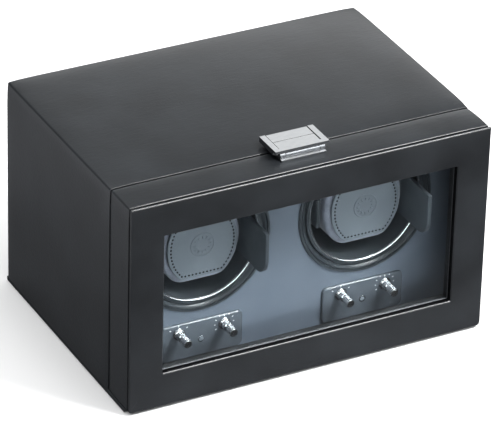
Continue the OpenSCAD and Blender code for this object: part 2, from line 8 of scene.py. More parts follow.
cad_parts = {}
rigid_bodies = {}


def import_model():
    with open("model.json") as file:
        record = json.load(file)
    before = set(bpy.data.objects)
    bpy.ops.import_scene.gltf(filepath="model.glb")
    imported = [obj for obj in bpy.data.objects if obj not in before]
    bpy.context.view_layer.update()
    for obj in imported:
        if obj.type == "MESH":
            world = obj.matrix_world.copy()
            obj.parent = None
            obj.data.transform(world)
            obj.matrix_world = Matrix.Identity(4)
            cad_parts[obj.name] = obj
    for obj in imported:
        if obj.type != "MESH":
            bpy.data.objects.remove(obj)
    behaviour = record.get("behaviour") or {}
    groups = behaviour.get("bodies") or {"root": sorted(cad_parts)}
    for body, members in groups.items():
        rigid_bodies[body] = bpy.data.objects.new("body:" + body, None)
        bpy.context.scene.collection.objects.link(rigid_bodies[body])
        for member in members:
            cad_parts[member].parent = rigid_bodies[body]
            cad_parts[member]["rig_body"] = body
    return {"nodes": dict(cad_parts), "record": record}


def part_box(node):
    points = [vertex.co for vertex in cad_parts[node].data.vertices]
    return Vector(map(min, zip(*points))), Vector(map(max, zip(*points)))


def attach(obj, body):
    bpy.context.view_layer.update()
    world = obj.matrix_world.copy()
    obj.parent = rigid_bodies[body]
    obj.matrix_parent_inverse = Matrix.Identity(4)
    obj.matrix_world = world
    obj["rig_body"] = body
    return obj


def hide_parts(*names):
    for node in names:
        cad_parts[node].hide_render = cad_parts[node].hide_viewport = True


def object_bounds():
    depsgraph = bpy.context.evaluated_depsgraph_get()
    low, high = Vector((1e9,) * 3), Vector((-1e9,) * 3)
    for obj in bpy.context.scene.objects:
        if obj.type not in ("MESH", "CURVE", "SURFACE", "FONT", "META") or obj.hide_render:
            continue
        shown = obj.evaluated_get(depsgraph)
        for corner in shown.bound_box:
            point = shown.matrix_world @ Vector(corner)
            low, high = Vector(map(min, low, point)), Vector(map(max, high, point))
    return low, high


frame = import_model()
CAD_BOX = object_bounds()

# Looks of a leather-covered watch winder box. Lengths are in metres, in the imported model's frame.
MM = 0.001
SIDES = {"left": -1, "right": 1}


# ---------------------------------------------------------------- camera, light and stage

def make_camera():
    """A long lens from the front left, above the box."""
    azimuth, elevation, roll = (math.radians(a) for a in (-27.99, 30.02, 1.58))
    distance, shift_right, shift_up = 3.1423, 0.0059, 0.0713
    back = Vector((math.sin(azimuth) * math.cos(elevation),
                   -math.cos(azimuth) * math.cos(elevation),
                   math.sin(elevation)))
    level = (-back).cross(Vector((0, 0, 1))).normalized()
    above = level.cross(-back)
    right = level * math.cos(roll) + above * math.sin(roll)
    up = above * math.cos(roll) - level * math.sin(roll)
    data = bpy.data.cameras.new("camera")
    data.lens, data.sensor_width = 293.9, 36
    data.clip_start, data.clip_end = 0.1, 50
    camera = bpy.data.objects.new("camera", data)
    bpy.context.scene.collection.objects.link(camera)
    turn = Matrix((right, up, back)).transposed().to_4x4()
    camera.matrix_world = Matrix.Translation(right * shift_right + up * shift_up + back * distance) @ turn
    bpy.context.scene.camera = camera


def softbox(name, place, target, size, power):
    data = bpy.data.lights.new(name, "AREA")
    data.shape, data.size, data.size_y = "RECTANGLE", size[0], size[1]
    data.energy = power
    lamp = bpy.data.objects.new(name, data)
    bpy.context.scene.collection.objects.link(lamp)
    lamp.location = place
    lamp.rotation_euler = (Vector(target) - Vector(place)).to_track_quat("-Z", "Y").to_euler()


def floor_material():
    """Pale to the eye. Glossy surfaces see it as painted shade: dark in front of the box, lighter behind it,
    and lighter still away to the left.
    """
    m, bsdf = new_material("studio_floor")
    n = Nodes(m, bsdf)
    split = n.add("ShaderNodeSeparateXYZ")
    n.link(n.here, split.inputs[0])
    # The darkest tone reflections see, in front of and beside the box: painted shade, the box's shadow on the
    # floor.
    reflected_shade_tone = (0.012, 0.0125, 0.0135)
    parts = []
    for axis, pale, dark, tone in (("X", -0.44, -0.215, 0.36), ("Y", -0.13, -0.22, 0.13)):
        span = n.add("ShaderNodeMapRange")
        span.inputs["From Min"].default_value = pale
        span.inputs["From Max"].default_value = dark
        n.link(split.outputs[axis], span.inputs["Value"])
        pale_tone = (tone, tone * 1.03, tone * 1.09)
        parts.append(n.ramp(span.outputs[0], pale_tone, reflected_shade_tone, 0.0, 1.0))
    lighter = n.add("ShaderNodeMixRGB", blend_type="LIGHTEN")
    lighter.inputs["Fac"].default_value = 1.0
    n.link(parts[0], lighter.inputs[1])
    n.link(parts[1], lighter.inputs[2])
    path = n.add("ShaderNodeLightPath")
    mix = n.add("ShaderNodeMixRGB")
    mix.inputs[1].default_value = (0.9, 0.9, 0.9, 1)
    n.link(path.outputs["Is Glossy Ray"], mix.inputs["Fac"])
    n.link(lighter.outputs[0], mix.inputs[2])
    n.colour(mix.outputs[0])
    bsdf.inputs["Roughness"].default_value = 0.7
    bsdf.inputs["Specular IOR Level"].default_value = 0.0
    return m


def make_stage():
    scene = bpy.context.scene
    scene.view_settings.view_transform = "Standard"
    mesh = bpy.data.meshes.new("floor")
    half = 6.0
    corners = [(-half, -half, 0), (half, -half, 0), (half, half, 0), (-half, half, 0)]
    mesh.from_pydata(corners, [], [(0, 1, 2, 3)])
    floor = bpy.data.objects.new("floor", mesh)
    scene.collection.objects.link(floor)
    mesh.materials.append(floor_material())
    world = bpy.data.worlds.new("studio")
    scene.world = world
    world.use_nodes = True
    tree = world.node_tree
    background = tree.nodes["Background"]
    where = tree.nodes.new("ShaderNodeTexCoord")
    split = tree.nodes.new("ShaderNodeSeparateXYZ")
    ramp = tree.nodes.new("ShaderNodeValToRGB")
    tree.links.new(where.outputs["Generated"], split.inputs[0])
    tree.links.new(split.outputs["Z"], ramp.inputs["Fac"])
    tree.links.new(ramp.outputs["Color"], background.inputs["Color"])
    stops = ramp.color_ramp.elements
    stops[0].position, stops[0].color = 0.0, (0.12, 0.125, 0.135, 1)
    stops[1].position, stops[1].color = 0.85, (1.0, 1.0, 1.0, 1)
    for place, tone in ((0.3, 0.14), (0.6, 0.27)):
        low = stops.new(place)
        low.color = (tone * 0.95, tone * 1.01, tone * 1.06, 1)
    background.inputs["Strength"].default_value = 1.0
    softbox("softbox_key", (0.62, -0.76, 1.3), (0, -0.05, 0.09), (0.5, 0.5), 34)
    softbox("softbox_back", (0.2, 0.36, 0.3), (0.02, 0.06, 0.17), (0.5, 0.08), 0.18)
    softbox("softbox_front", (0.3, -1.75, 0.32), (0, -0.06, 0.1), (2.6, 0.42), 22)
    softbox("softbox_top", (-0.3, 0.1, 2.2), (0, 0, 0), (1.6, 1.6), 30)


# ---------------------------------------------------------------- materials

def new_material(name):
    m = bpy.data.materials.new(name)
    m.use_nodes = True
    return m, m.node_tree.nodes["Principled BSDF"]


class Nodes:
    """Short calls that add the nodes of one material and link them."""

    def __init__(self, material, bsdf):
        self.tree, self.bsdf = material.node_tree, bsdf
        where = self.add("ShaderNodeTexCoord")
        self.here = where.outputs["Object"]

    def add(self, kind, **values):
        node = self.tree.nodes.new(kind)
        for key, value in values.items():
            setattr(node, key, value)
        return node

    def link(self, source, target):
        self.tree.links.new(source, target)

    def stretched(self, scale, turn=(0, 0, 0)):
        node = self.add("ShaderNodeMapping")
        node.inputs["Scale"].default_value = scale
        node.inputs["Rotation"].default_value = turn
        self.link(self.here, node.inputs["Vector"])
        return node.outputs[0]

    def noise(self, size, detail=3.0, where=None, roughness=0.5):
        node = self.add("ShaderNodeTexNoise")
        node.inputs["Scale"].default_value = 1 / size
        node.inputs["Detail"].default_value = detail
        node.inputs["Roughness"].default_value = roughness
        self.link(where or self.here, node.inputs["Vector"])
        return node.outputs["Fac"]

    def cells(self, size, feature="SMOOTH_F1", where=None):
        node = self.add("ShaderNodeTexVoronoi", feature=feature)
        node.inputs["Scale"].default_value = 1 / size
        self.link(where or self.here, node.inputs["Vector"])
        return node.outputs["Distance"]

    def wobbled(self, amount, size):
        """Coordinates pushed about a little, so that cells lose their straight sides."""
        node = self.add("ShaderNodeTexNoise")
        node.inputs["Scale"].default_value = 1 / size
        self.link(self.here, node.inputs["Vector"])
        mix = self.add("ShaderNodeMixRGB", blend_type="ADD")
        mix.inputs["Fac"].default_value = amount
        self.link(self.here, mix.inputs[1])
        self.link(node.outputs["Color"], mix.inputs[2])
        return mix.outputs[0]

    def ramp(self, source, low, high, start=0.3, end=0.7):
        node = self.add("ShaderNodeValToRGB")
        stops = node.color_ramp.elements
        stops[0].position, stops[0].color = start, (*low, 1)
        stops[1].position, stops[1].color = end, (*high, 1)
        self.link(source, node.inputs["Fac"])
        return node.outputs["Color"]

    def spread(self, source, low, high):
        node = self.add("ShaderNodeMapRange")
        node.inputs["To Min"].default_value = low
        node.inputs["To Max"].default_value = high
        self.link(source, node.inputs["Value"])
        return node.outputs[0]

    def bump(self, height, depth, under=None, strength=1.0):
        node = self.add("ShaderNodeBump")
        node.inputs["Distance"].default_value = depth
        node.inputs["Strength"].default_value = strength
        self.link(height, node.inputs["Height"])
        if under:
            self.link(under, node.inputs["Normal"])
        return node.outputs["Normal"]

    def colour(self, socket):
        self.link(socket, self.bsdf.inputs["Base Color"])

    def roughness(self, socket):
        self.link(socket, self.bsdf.inputs["Roughness"])

    def normal(self, socket):
        self.link(socket, self.bsdf.inputs["Normal"])


def leather(name, low, high, grain=0.9 * MM, crease=0.09 * MM, depth=0.03 * MM, rough=(0.26, 0.34),
            specular=0.5, coat=0.0):
    """Dyed leather: long fine creases that run one way, pebbled cells, slow changes of tone and gloss."""
    m, bsdf = new_material(name)
    n = Nodes(m, bsdf)
    tone = n.noise(40 * MM, 4)
    n.colour(n.ramp(tone, low, high))
    grain_way = n.stretched((0.35, 1, 1.3), (0, math.radians(-38), math.radians(-22)))
    creases = n.noise(2.8 * MM, 4, grain_way, 0.55)
    pebbles = n.cells(grain, where=n.wobbled(0.6 * MM, 3 * MM))
    fine = n.noise(grain * 0.4, 2)
    slow = n.noise(26 * MM, 2)
    base = n.bump(slow, 0.35 * MM, strength=0.3)
    base = n.bump(creases, crease, base)
    base = n.bump(pebbles, depth, base)
    n.normal(n.bump(fine, depth * 0.3, base))
    n.roughness(n.spread(creases, *rough))
    bsdf.inputs["Specular IOR Level"].default_value = specular
    bsdf.inputs["Coat Weight"].default_value = coat
    bsdf.inputs["Coat Roughness"].default_value = 0.22
    return m


def suede(name, low, high, nap=0.5 * MM):
    m, bsdf = new_material(name)
    n = Nodes(m, bsdf)
    n.colour(n.ramp(n.noise(9 * MM, 6, roughness=0.65), low, high))
    n.normal(n.bump(n.noise(nap, 4, roughness=0.7), 0.12 * MM))
    bsdf.inputs["Roughness"].default_value = 0.95
    bsdf.inputs["Specular IOR Level"].default_value = 0.2
    bsdf.inputs["Sheen Weight"].default_value = 0.25
    bsdf.inputs["Sheen Roughness"].default_value = 0.4
    return m


def moulded(name, low, high, rough=(0.35, 0.5), grit=0.35 * MM, depth=0.012 * MM, specular=0.5):
    """Moulded plastic with a fine eroded texture."""
    m, bsdf = new_material(name)
    n = Nodes(m, bsdf)
    n.colour(n.ramp(n.noise(14 * MM, 3), low, high))
    n.roughness(n.spread(n.noise(5 * MM, 4), *rough))
    n.normal(n.bump(n.noise(grit, 3), depth))
    bsdf.inputs["Specular IOR Level"].default_value = specular
    return m


def brushed(name, low, high, scale, rough=(0.22, 0.36), depth=0.004 * MM, metallic=1.0):
    """Metal brushed along the axis whose scale is smallest."""
    m, bsdf = new_material(name)
    n = Nodes(m, bsdf)
    lines = n.noise(0.35 * MM, 4, n.stretched(scale))
    n.colour(n.ramp(lines, low, high))
    n.roughness(n.spread(lines, *rough))
    n.normal(n.bump(lines, depth))
    bsdf.inputs["Metallic"].default_value = metallic
    return m


def polished(name, low, high, rough=(0.04, 0.1)):
    m, bsdf = new_material(name)
    n = Nodes(m, bsdf)
    n.colour(n.ramp(n.noise(6 * MM, 3), low, high))
    n.roughness(n.spread(n.noise(2 * MM, 4), *rough))
    bsdf.inputs["Metallic"].default_value = 1.0
    return m


def fibreboard(name):
    m, bsdf = new_material(name)
    n = Nodes(m, bsdf)
    fibres = n.noise(1.4 * MM, 6, n.stretched((1, 0.3, 1)), 0.7)
    n.colour(n.ramp(fibres, (0.27, 0.18, 0.11), (0.46, 0.33, 0.21)))
    n.normal(n.bump(n.noise(0.6 * MM, 4), 0.05 * MM))
    bsdf.inputs["Roughness"].default_value = 0.85
    return m


def clear_glass(name):
    """Clear pane: lamps shine through it, and the eye sees its own reflections."""
    m, bsdf = new_material(name)
    tree = m.node_tree
    bsdf.inputs["Base Color"].default_value = (0.93, 0.97, 0.98, 1)
    bsdf.inputs["Roughness"].default_value = 0.02
    bsdf.inputs["IOR"].default_value = 1.45
    bsdf.inputs["Transmission Weight"].default_value = 1.0
    path = tree.nodes.new("ShaderNodeLightPath")
    clear = tree.nodes.new("ShaderNodeBsdfTransparent")
    clear.inputs["Color"].default_value = (0.95, 0.97, 0.98, 1)
    mix = tree.nodes.new("ShaderNodeMixShader")
    tree.links.new(path.outputs["Is Shadow Ray"], mix.inputs["Fac"])
    tree.links.new(bsdf.outputs[0], mix.inputs[1])
    tree.links.new(clear.outputs[0], mix.inputs[2])
    tree.links.new(mix.outputs[0], tree.nodes["Material Output"].inputs["Surface"])
    return m


def make_materials():
    across = (0.06, 1, 1)
    return {
        "black_leather": leather("black_leather", (0.008, 0.009, 0.0105), (0.014, 0.016, 0.0185),
                                 depth=0.05 * MM, coat=0.3),
        "base_cover": leather("base_leather", (0.012, 0.014, 0.016), (0.022, 0.025, 0.028),
                              rough=(0.5, 0.65)),
        "fascia_cover": leather("fascia_leather", (0.1, 0.12, 0.15), (0.12, 0.142, 0.175),
                                0.6 * MM, 0.008 * MM, 0.006 * MM, (0.55, 0.66), 0.3),
        "patch_leather": leather("patch_leather", (0.115, 0.135, 0.155), (0.15, 0.172, 0.195),
                                 0.7 * MM, 0.02 * MM, 0.02 * MM, (0.4, 0.52), 0.4),
        "cushion_suede": suede("cushion_suede", (0.17, 0.185, 0.225), (0.25, 0.27, 0.325)),
        "black_suede": suede("black_suede", (0.006, 0.006, 0.008), (0.014, 0.014, 0.017)),
        "drum_plastic": moulded("drum_plastic", (0.06, 0.07, 0.078), (0.085, 0.096, 0.106)),
        "bezel_plastic": moulded("bezel_plastic", (0.03, 0.036, 0.042), (0.042, 0.049, 0.056), (0.29, 0.32),
                                 depth=0.002 * MM),
        "cuff_plastic": moulded("cuff_plastic", (0.08, 0.092, 0.105), (0.1, 0.114, 0.13), (0.7, 0.8),
                                specular=0.15),
        "control_panel": moulded("control_panel", (0.075, 0.087, 0.102), (0.095, 0.109, 0.127), (0.1, 0.16),
                                 depth=0.002 * MM),
        "black_plastic": moulded("black_plastic", (0.012, 0.012, 0.013), (0.024, 0.024, 0.026)),
        "board_green": moulded("circuit_green", (0.01, 0.09, 0.045), (0.02, 0.14, 0.07), (0.25, 0.4)),
        "led_lens": moulded("led_lens", (0.12, 0.14, 0.16), (0.2, 0.23, 0.26), (0.05, 0.09)),
        "belt_rubber": moulded("belt_rubber", (0.010, 0.010, 0.011), (0.02, 0.02, 0.021), (0.7, 0.85)),
        "chrome": polished("chrome", (0.78, 0.79, 0.81), (0.90, 0.91, 0.92)),
        "satin_chrome": polished("satin_chrome", (0.86, 0.87, 0.88), (0.92, 0.93, 0.94), (0.18, 0.22)),
        "brushed_metal": brushed("brushed_metal", (0.56, 0.575, 0.585), (0.68, 0.69, 0.7), across,
                                 (0.3, 0.42), metallic=0.75),
        "hinge_metal": brushed("hinge_metal", (0.33, 0.33, 0.34), (0.45, 0.45, 0.46), across, (0.3, 0.45)),
        "steel": brushed("ground_steel", (0.5, 0.5, 0.51), (0.62, 0.62, 0.63), (1, 0.1, 1)),
        "bronze": brushed("sintered_bronze", (0.42, 0.27, 0.12), (0.56, 0.38, 0.2), (1, 1, 1), (0.4, 0.55)),
        "aluminium_bead": brushed("aluminium_bead", (0.1, 0.107, 0.115), (0.16, 0.168, 0.178), across,
                                  (0.4, 0.5)),
        "wood_board": fibreboard("fibreboard"),
        "glass": clear_glass("window_glass"),
        "thread": moulded("stitch_thread", (0.005, 0.006, 0.008), (0.012, 0.014, 0.016), (0.75, 0.9),
                          0.2 * MM, 0.03 * MM, 0.1),
        # Near-black: the real paint on the lid's boards and the window's bead, and painted shade in the
        # window's reveal and the latch's gaps.
        "black_paint_and_shade": moulded("black_paint_and_shade", (0.002, 0.002, 0.0025), (0.004, 0.004, 0.005), (0.8, 0.9),
                              specular=0.05),
        "print": moulded("white_print", (0.62, 0.64, 0.66), (0.74, 0.76, 0.78)),
    }


# ---------------------------------------------------------------- mesh building

def add_piece(name, mesh, body, slot, material=None, replaces=(), angle=35, weighted=True):
    """Makes an object from a mesh: its shading, its material (the slot's own unless another is named), its
    body, and hides the nodes it stands for.
    """
    mesh.polygons.foreach_set("use_smooth", [True] * len(mesh.polygons))
    mesh.set_sharp_from_angle(angle=math.radians(angle))
    mesh.materials.clear()
    mesh.materials.append(MATERIALS[material or slot])
    piece = bpy.data.objects.new(name, mesh)
    bpy.context.scene.collection.objects.link(piece)
    if weighted:
        piece.modifiers.new("normals", "WEIGHTED_NORMAL").keep_sharp = True
    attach(piece, body)
    if replaces:
        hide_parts(*replaces)
    return piece


def paint_faces(mesh, index, chosen):
    """Gives a material index to every face for which chosen(face) is true."""
    for face in mesh.polygons:
        if chosen(face):
            face.material_index = index


def mesh_of(name, points, faces):
    mesh = bpy.data.meshes.new(name)
    mesh.from_pydata([tuple(p) for p in points], [], faces)
    bm = bmesh.new()
    bm.from_mesh(mesh)
    bmesh.ops.recalc_face_normals(bm, faces=bm.faces)
    bm.to_mesh(mesh)
    bm.free()
    return mesh


def loft(name, rings, closed_ring=True, closed_path=False, capped=False):
    """Joins rings of equally many points with quads. capped closes the first and last ring."""
    count = len(rings[0])
    points = [p for ring in rings for p in ring]
    faces = []
    for k in range(len(rings) if closed_path else len(rings) - 1):
        a, b = k * count, ((k + 1) % len(rings)) * count
        for i in range(count if closed_ring else count - 1):
            j = (i + 1) % count
            faces.append((a + i, a + j, b + j, b + i))
    if capped:
        faces.append(tuple(range(count))[::-1])
        faces.append(tuple(range((len(rings) - 1) * count, len(rings) * count)))
    return mesh_of(name, points, faces)


def lathe(name, profile, centre, steps=96, groove=0.0):
    """Turns a closed profile of (radius, y) points round an axis along Y through centre (x, z).
    groove is the depth of a narrow groove along the top, at the points that carry a third value."""
    rings = []
    for k in range(steps):
        a = 2 * math.pi * k / steps
        cut = groove * max(1 - abs(math.degrees(a) - 90) / 13, 0) ** 0.6
        rings.append([(centre[0] + (r - c * cut) * math.cos(a), y, centre[1] + (r - c * cut) * math.sin(a))
                      for r, y, c in (p if len(p) == 3 else (*p, 0) for p in profile)])
    return loft(name, rings, closed_ring=True, closed_path=True)


def arc(cx, cy, r, start, end, steps=6):
    """Points of an arc, angles in degrees."""
    return [(cx + r * math.cos(math.radians(start + (end - start) * k / steps)),
             cy + r * math.sin(math.radians(start + (end - start) * k / steps))) for k in range(steps + 1)]


def node_mesh(node, name):
    """The CAD node's shape with its flat faces whole again."""
    mesh = frame["nodes"][node].data.copy()
    mesh.name = name
    bm = bmesh.new()
    bm.from_mesh(mesh)
    bmesh.ops.remove_doubles(bm, verts=bm.verts, dist=0.001 * MM)
    bmesh.ops.dissolve_limit(bm, angle_limit=math.radians(1), verts=bm.verts, edges=bm.edges)
    bm.to_mesh(mesh)
    bm.free()
    return mesh


def softened(node, width, segments=3, shrink=1.0):
    """A CAD node with its sharp edges rounded, drawn in a little towards the middle of the box if asked."""
    source = frame["nodes"][node]
    mesh = node_mesh(node, node + "_mesh")
    middle = (CAD_BOX[0].z + CAD_BOX[1].z) / 2
    mesh.transform(Matrix.Translation((0, 0, middle)) @ Matrix.Diagonal((shrink, 1, shrink, 1))
                   @ Matrix.Translation((0, 0, -middle)))
    piece = add_piece(node + "_shape", mesh, source["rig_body"], SLOT_OF[node], replaces=(node,),
                      weighted=False)
    bevel = piece.modifiers.new("edges", "BEVEL")
    bevel.width, bevel.segments = width, segments
    bevel.limit_method, bevel.angle_limit = "ANGLE", math.radians(40)
    piece.modifiers.new("normals", "WEIGHTED_NORMAL").keep_sharp = True
    return piece


def chamfered(node, width):
    """A CAD plate with a flat chamfer round the front of its outline."""
    source = frame["nodes"][node]
    mesh = node_mesh(node, node + "_mesh")
    bm = bmesh.new()
    bm.from_mesh(mesh)
    lo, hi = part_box(node)
    rim = 3 * MM
    sharp = []
    for edge in bm.edges:
        middle = (edge.verts[0].co + edge.verts[1].co) / 2
        near = min(middle.x - lo.x, hi.x - middle.x, middle.z - lo.z, hi.z - middle.z) < rim
        if near and edge.is_manifold and edge.calc_face_angle() > math.radians(40) \
                and all(v.co.y < lo.y + 0.01 * MM for v in edge.verts):
            sharp.append(edge)
    bmesh.ops.bevel(bm, geom=sharp, offset=width, segments=1, affect="EDGES", clamp_overlap=False)
    bm.to_mesh(mesh)
    bm.free()
    return add_piece(node + "_shape", mesh, source["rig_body"], SLOT_OF[node], replaces=(node,), angle=30,
                     weighted=False)


SLOT_OF = {row["node"]: row["material_slot"] for row in frame["record"]["subparts"]}
MATERIALS = make_materials()

make_camera()
make_stage()


# ---------------------------------------------------------------- leather-covered case

SPACING = [d * MM for d in (1.5, 3.5, 6.5, 11, 18, 28)]


def roll_off(distance, height, reach):
    """How far a padded panel falls back this near to its edge."""
    return height * math.exp(-max(distance, 0) / reach)


def box_outline(x0, x1, z0, z1, r_top, r_low, corner=6, pad=0.0, reach=7 * MM, open_below=False):
    """A closed outline in the XZ plane, from the lower left corner, clockwise seen from the front.
    pad lets the sides and the top fall back towards the top corners."""
    r_top, r_low = max(r_top, 0.05 * MM), max(r_low, 0.05 * MM)
    corners = [((x0 + r_low, z0 + r_low), r_low, 270, 0), ((x0 + r_top, z1 - r_top), r_top, 180, 1),
               ((x1 - r_top, z1 - r_top), r_top, 90, 1), ((x1 - r_low, z0 + r_low), r_low, 0, 0)]
    points = []
    for i, (centre, r, start, padded) in enumerate(corners):
        turn = arc(*centre, r, start, start - 90, corner)
        shrink = 1 - pad * padded / r
        points += [(centre[0] + (x - centre[0]) * shrink, centre[1] + (z - centre[1]) * shrink)
                   for x, z in turn]
        after_centre, after_r, after_start, after_padded = corners[(i + 1) % 4]
        first = Vector(turn[-1])
        last = Vector(arc(*after_centre, after_r, after_start, after_start, 1)[0])
        long = (last - first).length
        along = (last - first) / long
        inward = Vector((along.y, -along.x))
        stops = SPACING + [long - d for d in reversed(SPACING)]
        for d in stops:
            fall = padded * roll_off(d, pad, reach) + after_padded * roll_off(long - d, pad, reach)
            points.append(tuple(first + along * d + inward * fall))
    if open_below:
        points = points[corner:-(corner + len(SPACING) * 2)]
    return points


def case_skin():
    """Padded leather over the case: outside, front edge, and turned in as far as the fascia.
    It ends a little short of the lid, which leaves a dark seam."""
    lo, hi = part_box("case_leather")
    lo.y += 0.6 * MM
    lip, wall, skin = 0.35 * MM, 8 * MM, 1 * MM
    back_r, top_r = 2.4 * MM, 2.6 * MM
    front_fall, back_fall, reach, pad = 0.9 * MM, 0.8 * MM, 7 * MM, 0.7 * MM
    fascia_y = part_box("fascia")[0].y

    def ring(y, inset, top_radius, padding=0.0):
        outline = box_outline(lo.x + inset, hi.x - inset, lo.z, hi.z - inset, top_radius, 0, pad=padding)
        return [(x, y, z) for x, z in outline]

    def rounded(inset):
        return max(top_r - inset * 0.6, 1 * MM)

    rings = [ring(hi.y - skin, 3.5 * MM, 1 * MM), ring(lo.y + 3 * MM, 3.5 * MM, 1 * MM),
             ring(lo.y + 3 * MM, wall - skin, 0), ring(fascia_y, wall - skin, 0), ring(fascia_y, wall, 0)]
    rings += [ring(y, inset, 0) for y, inset in arc(lo.y + lip, wall - lip, lip, 90, 180)]
    edge = roll_off(lip, front_fall, reach)
    rings += [ring(y, inset, rounded(inset), pad)
              for y, inset in arc(lo.y + lip, lip + edge, lip, 180, 270)]
    rings += [ring(lo.y + d, roll_off(d, front_fall, reach), top_r, pad) for d in SPACING]
    rings += [ring(hi.y - d, roll_off(d, back_fall, reach), top_r, pad) for d in reversed(SPACING[1:])]
    edge = roll_off(back_r, back_fall, reach)
    rings += [ring(y, inset, rounded(inset), pad)
              for y, inset in arc(hi.y - back_r, back_r + edge, back_r, -90, 0, 8)]
    mesh = loft("case_skin", rings)
    bm = bmesh.new()
    bm.from_mesh(mesh)
    bm.verts.ensure_lookup_table()
    count = len(rings[0])
    centre = (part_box("dc_jack")[0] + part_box("dc_jack")[1]) / 2
    hole, hole_steps = 7.5 * MM, 48
    loops = []
    corners = list(bm.verts)
    for first, y in ((0, hi.y - skin), (len(rings) - 1, hi.y)):
        outer = [corners[first * count + i] for i in range(count)]
        inner = [bm.verts.new((centre.x + x, y, centre.z + z))
                 for x, z in arc(0, 0, hole, 0, 352.5, hole_steps - 1)]
        edges = [bm.edges.get((outer[i], outer[(i + 1) % count])) for i in range(count)]
        edges += [bm.edges.new((inner[i], inner[(i + 1) % hole_steps])) for i in range(hole_steps)]
        bmesh.ops.triangle_fill(bm, edges=edges, use_beauty=True)
        loops.append(inner)
    for i in range(hole_steps):
        j = (i + 1) % hole_steps
        bm.faces.new((loops[0][i], loops[0][j], loops[1][j], loops[1][i]))
    bmesh.ops.recalc_face_normals(bm, faces=bm.faces)
    bm.to_mesh(mesh)
    bm.free()
    add_piece("case_leather_skin", mesh, "case", "black_leather", replaces=("case_leather",))


# The front board of the lid stands free of the rim behind it, with a deep groove between them.
PANEL_BACK, GROOVE_BACK, GROOVE_DEPTH, PANEL_INSET = 2.1 * MM, 4.3 * MM, 3.6 * MM, 0.5 * MM


def lid_rim_skin():
    """Padded leather over the top and sides of the lid, open below."""
    lo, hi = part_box("lid_leather")
    end_r, lip, wall, skin, top_r = 0.9 * MM, 0.9 * MM, 8 * MM, 1 * MM, 2.3 * MM
    front_fall, back_fall, reach, pad = 0.35 * MM, 0.8 * MM, 6 * MM, 0.5 * MM
    y0 = lo.y + GROOVE_BACK
    z0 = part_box("lid_rim")[0].z - skin + 0.4 * MM
    spots = SPACING[:4]
    under = 3.4 * MM
    front_edge, back_edge = roll_off(end_r, front_fall, reach), roll_off(lip, back_fall, reach)
    section = [(y0 + 0.9 * MM, under), (hi.y - 3 * MM, under), (hi.y - 3 * MM, wall)]
    section += arc(hi.y - lip, wall - lip, lip, 90, 0)[1:]
    section += arc(hi.y - lip, lip + back_edge, lip, 0, -90)
    section += [(hi.y - d, roll_off(d, back_fall, reach)) for d in spots]
    section += [(y0 + d, roll_off(d, front_fall, reach)) for d in reversed(spots)]
    section += arc(y0 + end_r, end_r + front_edge, end_r, -90, -180)
    section += [(y0, GROOVE_DEPTH), (y0 + 0.9 * MM, GROOVE_DEPTH)]

    def ring(y, inset):
        outline = box_outline(lo.x + inset, hi.x - inset, z0, hi.z - inset,
                              max(top_r - inset * 0.6, 0.9 * MM), 0, pad=pad, open_below=True)
        return [(x, y, z) for x, z in outline]

    rings = [ring(y, inset) for y, inset in section]
    mesh = loft("lid_rim_skin", rings, closed_ring=False, closed_path=True)
    bm = bmesh.new()
    bm.from_mesh(mesh)
    bmesh.ops.holes_fill(bm, edges=[e for e in bm.edges if e.is_boundary], sides=0)
    bmesh.ops.recalc_face_normals(bm, faces=bm.faces)
    bm.to_mesh(mesh)
    bm.free()
    add_piece("lid_rim_leather", mesh, "lid", "black_leather", replaces=("lid_leather",))


